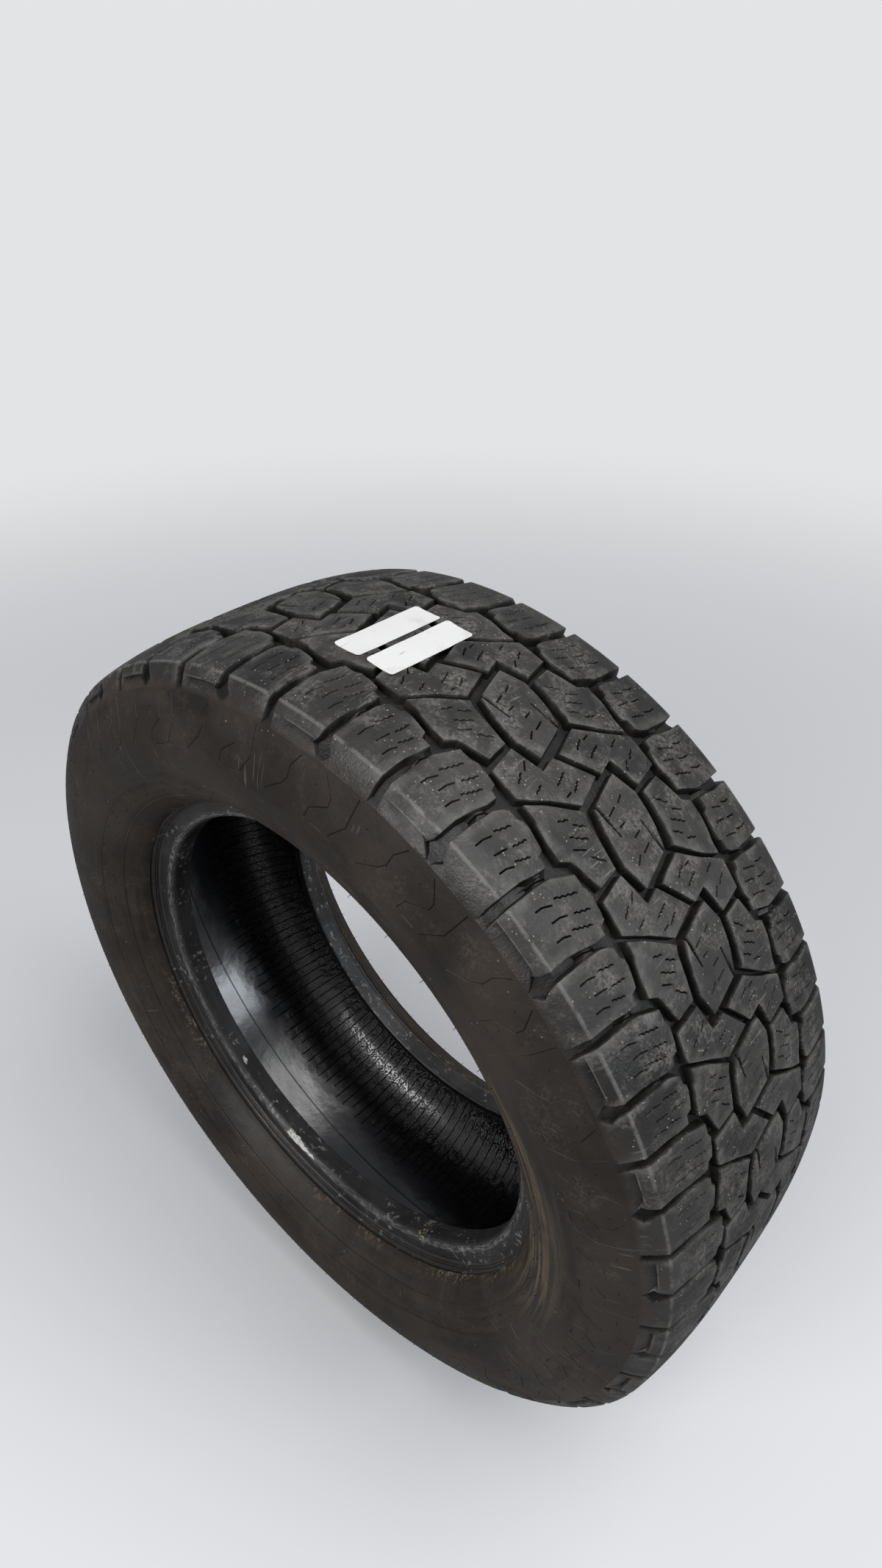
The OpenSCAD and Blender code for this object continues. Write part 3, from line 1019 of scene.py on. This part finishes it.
def paper():
    """White label stock with faint grime in patches, creases and rubber marks."""
    m = Surface("paper", 0.4)
    grime = m.band(m.noise(38, 5.0, 0.7), 0.54, 0.76)
    colour = m.over((0.76, 0.755, 0.745), grime, 0.4, (0.44, 0.42, 0.385))
    marks = m.band(m.noise(1, 2.0, 0.5, m.stretched(300, 30, 30)), 0.7, 0.76)
    colour = m.over(colour, marks, 0.4, (0.22, 0.21, 0.2))
    fibre = m.noise(1500, 2.0)
    rough = m.band(fibre, 0.3, 0.7, 0.55, 0.68)
    return m.finish(colour, rough, (fibre, 0.00005), (m.noise(45, 2.0), 0.0004))


def torn_paper():
    """Weathered label paper, grey where the bead has rubbed it."""
    m = Surface("torn_paper", 0.3)
    rubbed = m.band(m.noise(1, 4.0, 0.7, m.stretched(160, 900, 900)), 0.5, 0.62)
    colour = m.mix(rubbed, (0.66, 0.65, 0.61), (0.1, 0.097, 0.093))
    return m.finish(colour, 0.7, (m.noise(600, 3.0), 0.0002))


def plain(name, colour, roughness):
    """A material with one colour, for the stage."""
    material = bpy.data.materials.new(name)
    material.use_nodes = True
    shader = material.node_tree.nodes["Principled BSDF"]
    shader.inputs["Base Color"].default_value = (*colour, 1)
    shader.inputs["Roughness"].default_value = roughness
    return material


liner = liner_rubber()
sidewall = sidewall_rubber()
white = paper()
for material in (tread_rubber(), sidewall, bead_rubber(), liner):
    tyre.data.materials.append(material)
ridges.data.materials.append(ridge_rubber())
pips.data.materials.append(sidewall)
torn = torn_paper()
for piece, material in ((upper, white), (lower, white), (remnant, torn), (scrap, torn)):
    piece.data.materials.append(material)

# ---------------- stage, lights and camera
WALL_COLOUR = (0.77, 0.775, 0.79)
FLOOR_BOUNCE = (0.29, 0.29, 0.295)
FADE_START = 0.9
FADE_END = 3.2
scene = bpy.context.scene
scene.view_settings.view_transform = "Standard"


def floor_material():
    """Pale matt floor that turns, far from the tyre, into the same pale tone as the surround. It
    throws less light up at the tyre than the camera sees on it."""
    material = plain("floor", WALL_COLOUR, 0.9)
    tree = material.node_tree
    coords = tree.nodes.new("ShaderNodeTexCoord")
    length = tree.nodes.new("ShaderNodeVectorMath")
    length.operation = "LENGTH"
    far = tree.nodes.new("ShaderNodeMapRange")
    far.interpolation_type = "SMOOTHSTEP"
    far.inputs[1].default_value = FADE_START
    far.inputs[2].default_value = FADE_END
    path = tree.nodes.new("ShaderNodeLightPath")
    tone = tree.nodes.new("ShaderNodeMix")
    tone.data_type = "RGBA"
    tone.inputs[6].default_value = (*FLOOR_BOUNCE, 1)
    tone.inputs[7].default_value = (*WALL_COLOUR, 1)
    tree.links.new(path.outputs["Is Camera Ray"], tone.inputs[0])
    tree.links.new(tone.outputs[2], tree.nodes["Principled BSDF"].inputs["Base Color"])
    seen = tree.nodes.new("ShaderNodeMath")
    seen.operation = "MULTIPLY"
    glow = tree.nodes.new("ShaderNodeEmission")
    glow.inputs["Color"].default_value = (*WALL_COLOUR, 1)
    mixed = tree.nodes.new("ShaderNodeMixShader")
    tree.links.new(coords.outputs["Object"], length.inputs[0])
    tree.links.new(length.outputs["Value"], far.inputs[0])
    tree.links.new(far.outputs[0], seen.inputs[0])
    tree.links.new(path.outputs["Is Camera Ray"], seen.inputs[1])
    tree.links.new(seen.outputs[0], mixed.inputs[0])
    tree.links.new(tree.nodes["Principled BSDF"].outputs[0], mixed.inputs[1])
    tree.links.new(glow.outputs[0], mixed.inputs[2])
    tree.links.new(mixed.outputs[0], tree.nodes["Material Output"].inputs["Surface"])
    return material


def add_floor():
    """A wide floor at the height of the tyre's flat foot."""
    mesh = bpy.data.meshes.new("floor")
    half = 14.0
    mesh.from_pydata([(-half, -half, 0), (half, -half, 0), (half, half, 0), (-half, half, 0)],
                     [], [(0, 1, 2, 3)])
    floor = bpy.data.objects.new("floor", mesh)
    floor.location.z = FOOT_Z
    floor.data.materials.append(floor_material())
    scene.collection.objects.link(floor)


def add_area(name, place_at, target, size, power, colour=(1, 1, 1)):
    """A round soft lamp that looks at a target."""
    light = bpy.data.lights.new(name, "AREA")
    light.shape = "DISK"
    light.size = size
    light.energy = power
    light.color = colour
    lamp = bpy.data.objects.new(name, light)
    lamp.location = place_at
    lamp.rotation_euler = (Vector(target) - Vector(place_at)).to_track_quat("-Z", "Y").to_euler()
    scene.collection.objects.link(lamp)


def add_camera():
    """The camera stands near the tyre, turned left and looking down past its crown."""
    camera = bpy.data.cameras.new("camera")
    camera.sensor_width = 36
    camera.lens = 22.73
    view = bpy.data.objects.new("camera", camera)
    view.location = (0.4915, -0.4804, 0.7264)
    view.rotation_euler = (math.radians(90 - 35.41), 0, math.radians(41.98))
    camera.clip_start = 0.01
    scene.collection.objects.link(view)
    scene.camera = view


def add_world():
    """A soft pale surround, which the camera sees as a pale studio wall."""
    world = bpy.data.worlds.new("world")
    world.use_nodes = True
    tree = world.node_tree
    light = tree.nodes["Background"]
    light.inputs["Color"].default_value = (0.93, 0.95, 1, 1)
    light.inputs["Strength"].default_value = 0.33
    wall = tree.nodes.new("ShaderNodeBackground")
    wall.inputs["Color"].default_value = (*WALL_COLOUR, 1)
    path = tree.nodes.new("ShaderNodeLightPath")
    either = tree.nodes.new("ShaderNodeMixShader")
    tree.links.new(path.outputs["Is Camera Ray"], either.inputs[0])
    tree.links.new(light.outputs[0], either.inputs[1])
    tree.links.new(wall.outputs[0], either.inputs[2])
    tree.links.new(either.outputs[0], tree.nodes["World Output"].inputs["Surface"])
    bpy.context.scene.world = world


add_floor()
add_area("sky", (1.3, 0.3, 2.6), (0, 0, 0), 2.2, 44)
add_area("front", (0.12, -2.4, 1.65), (0, 0, 0), 1.8, 48)
add_area("side", (2.5, 1.0, 1.1), (0, 0, 0), 0.9, 11.5, (0.86, 0.93, 1))
add_world()
add_camera()
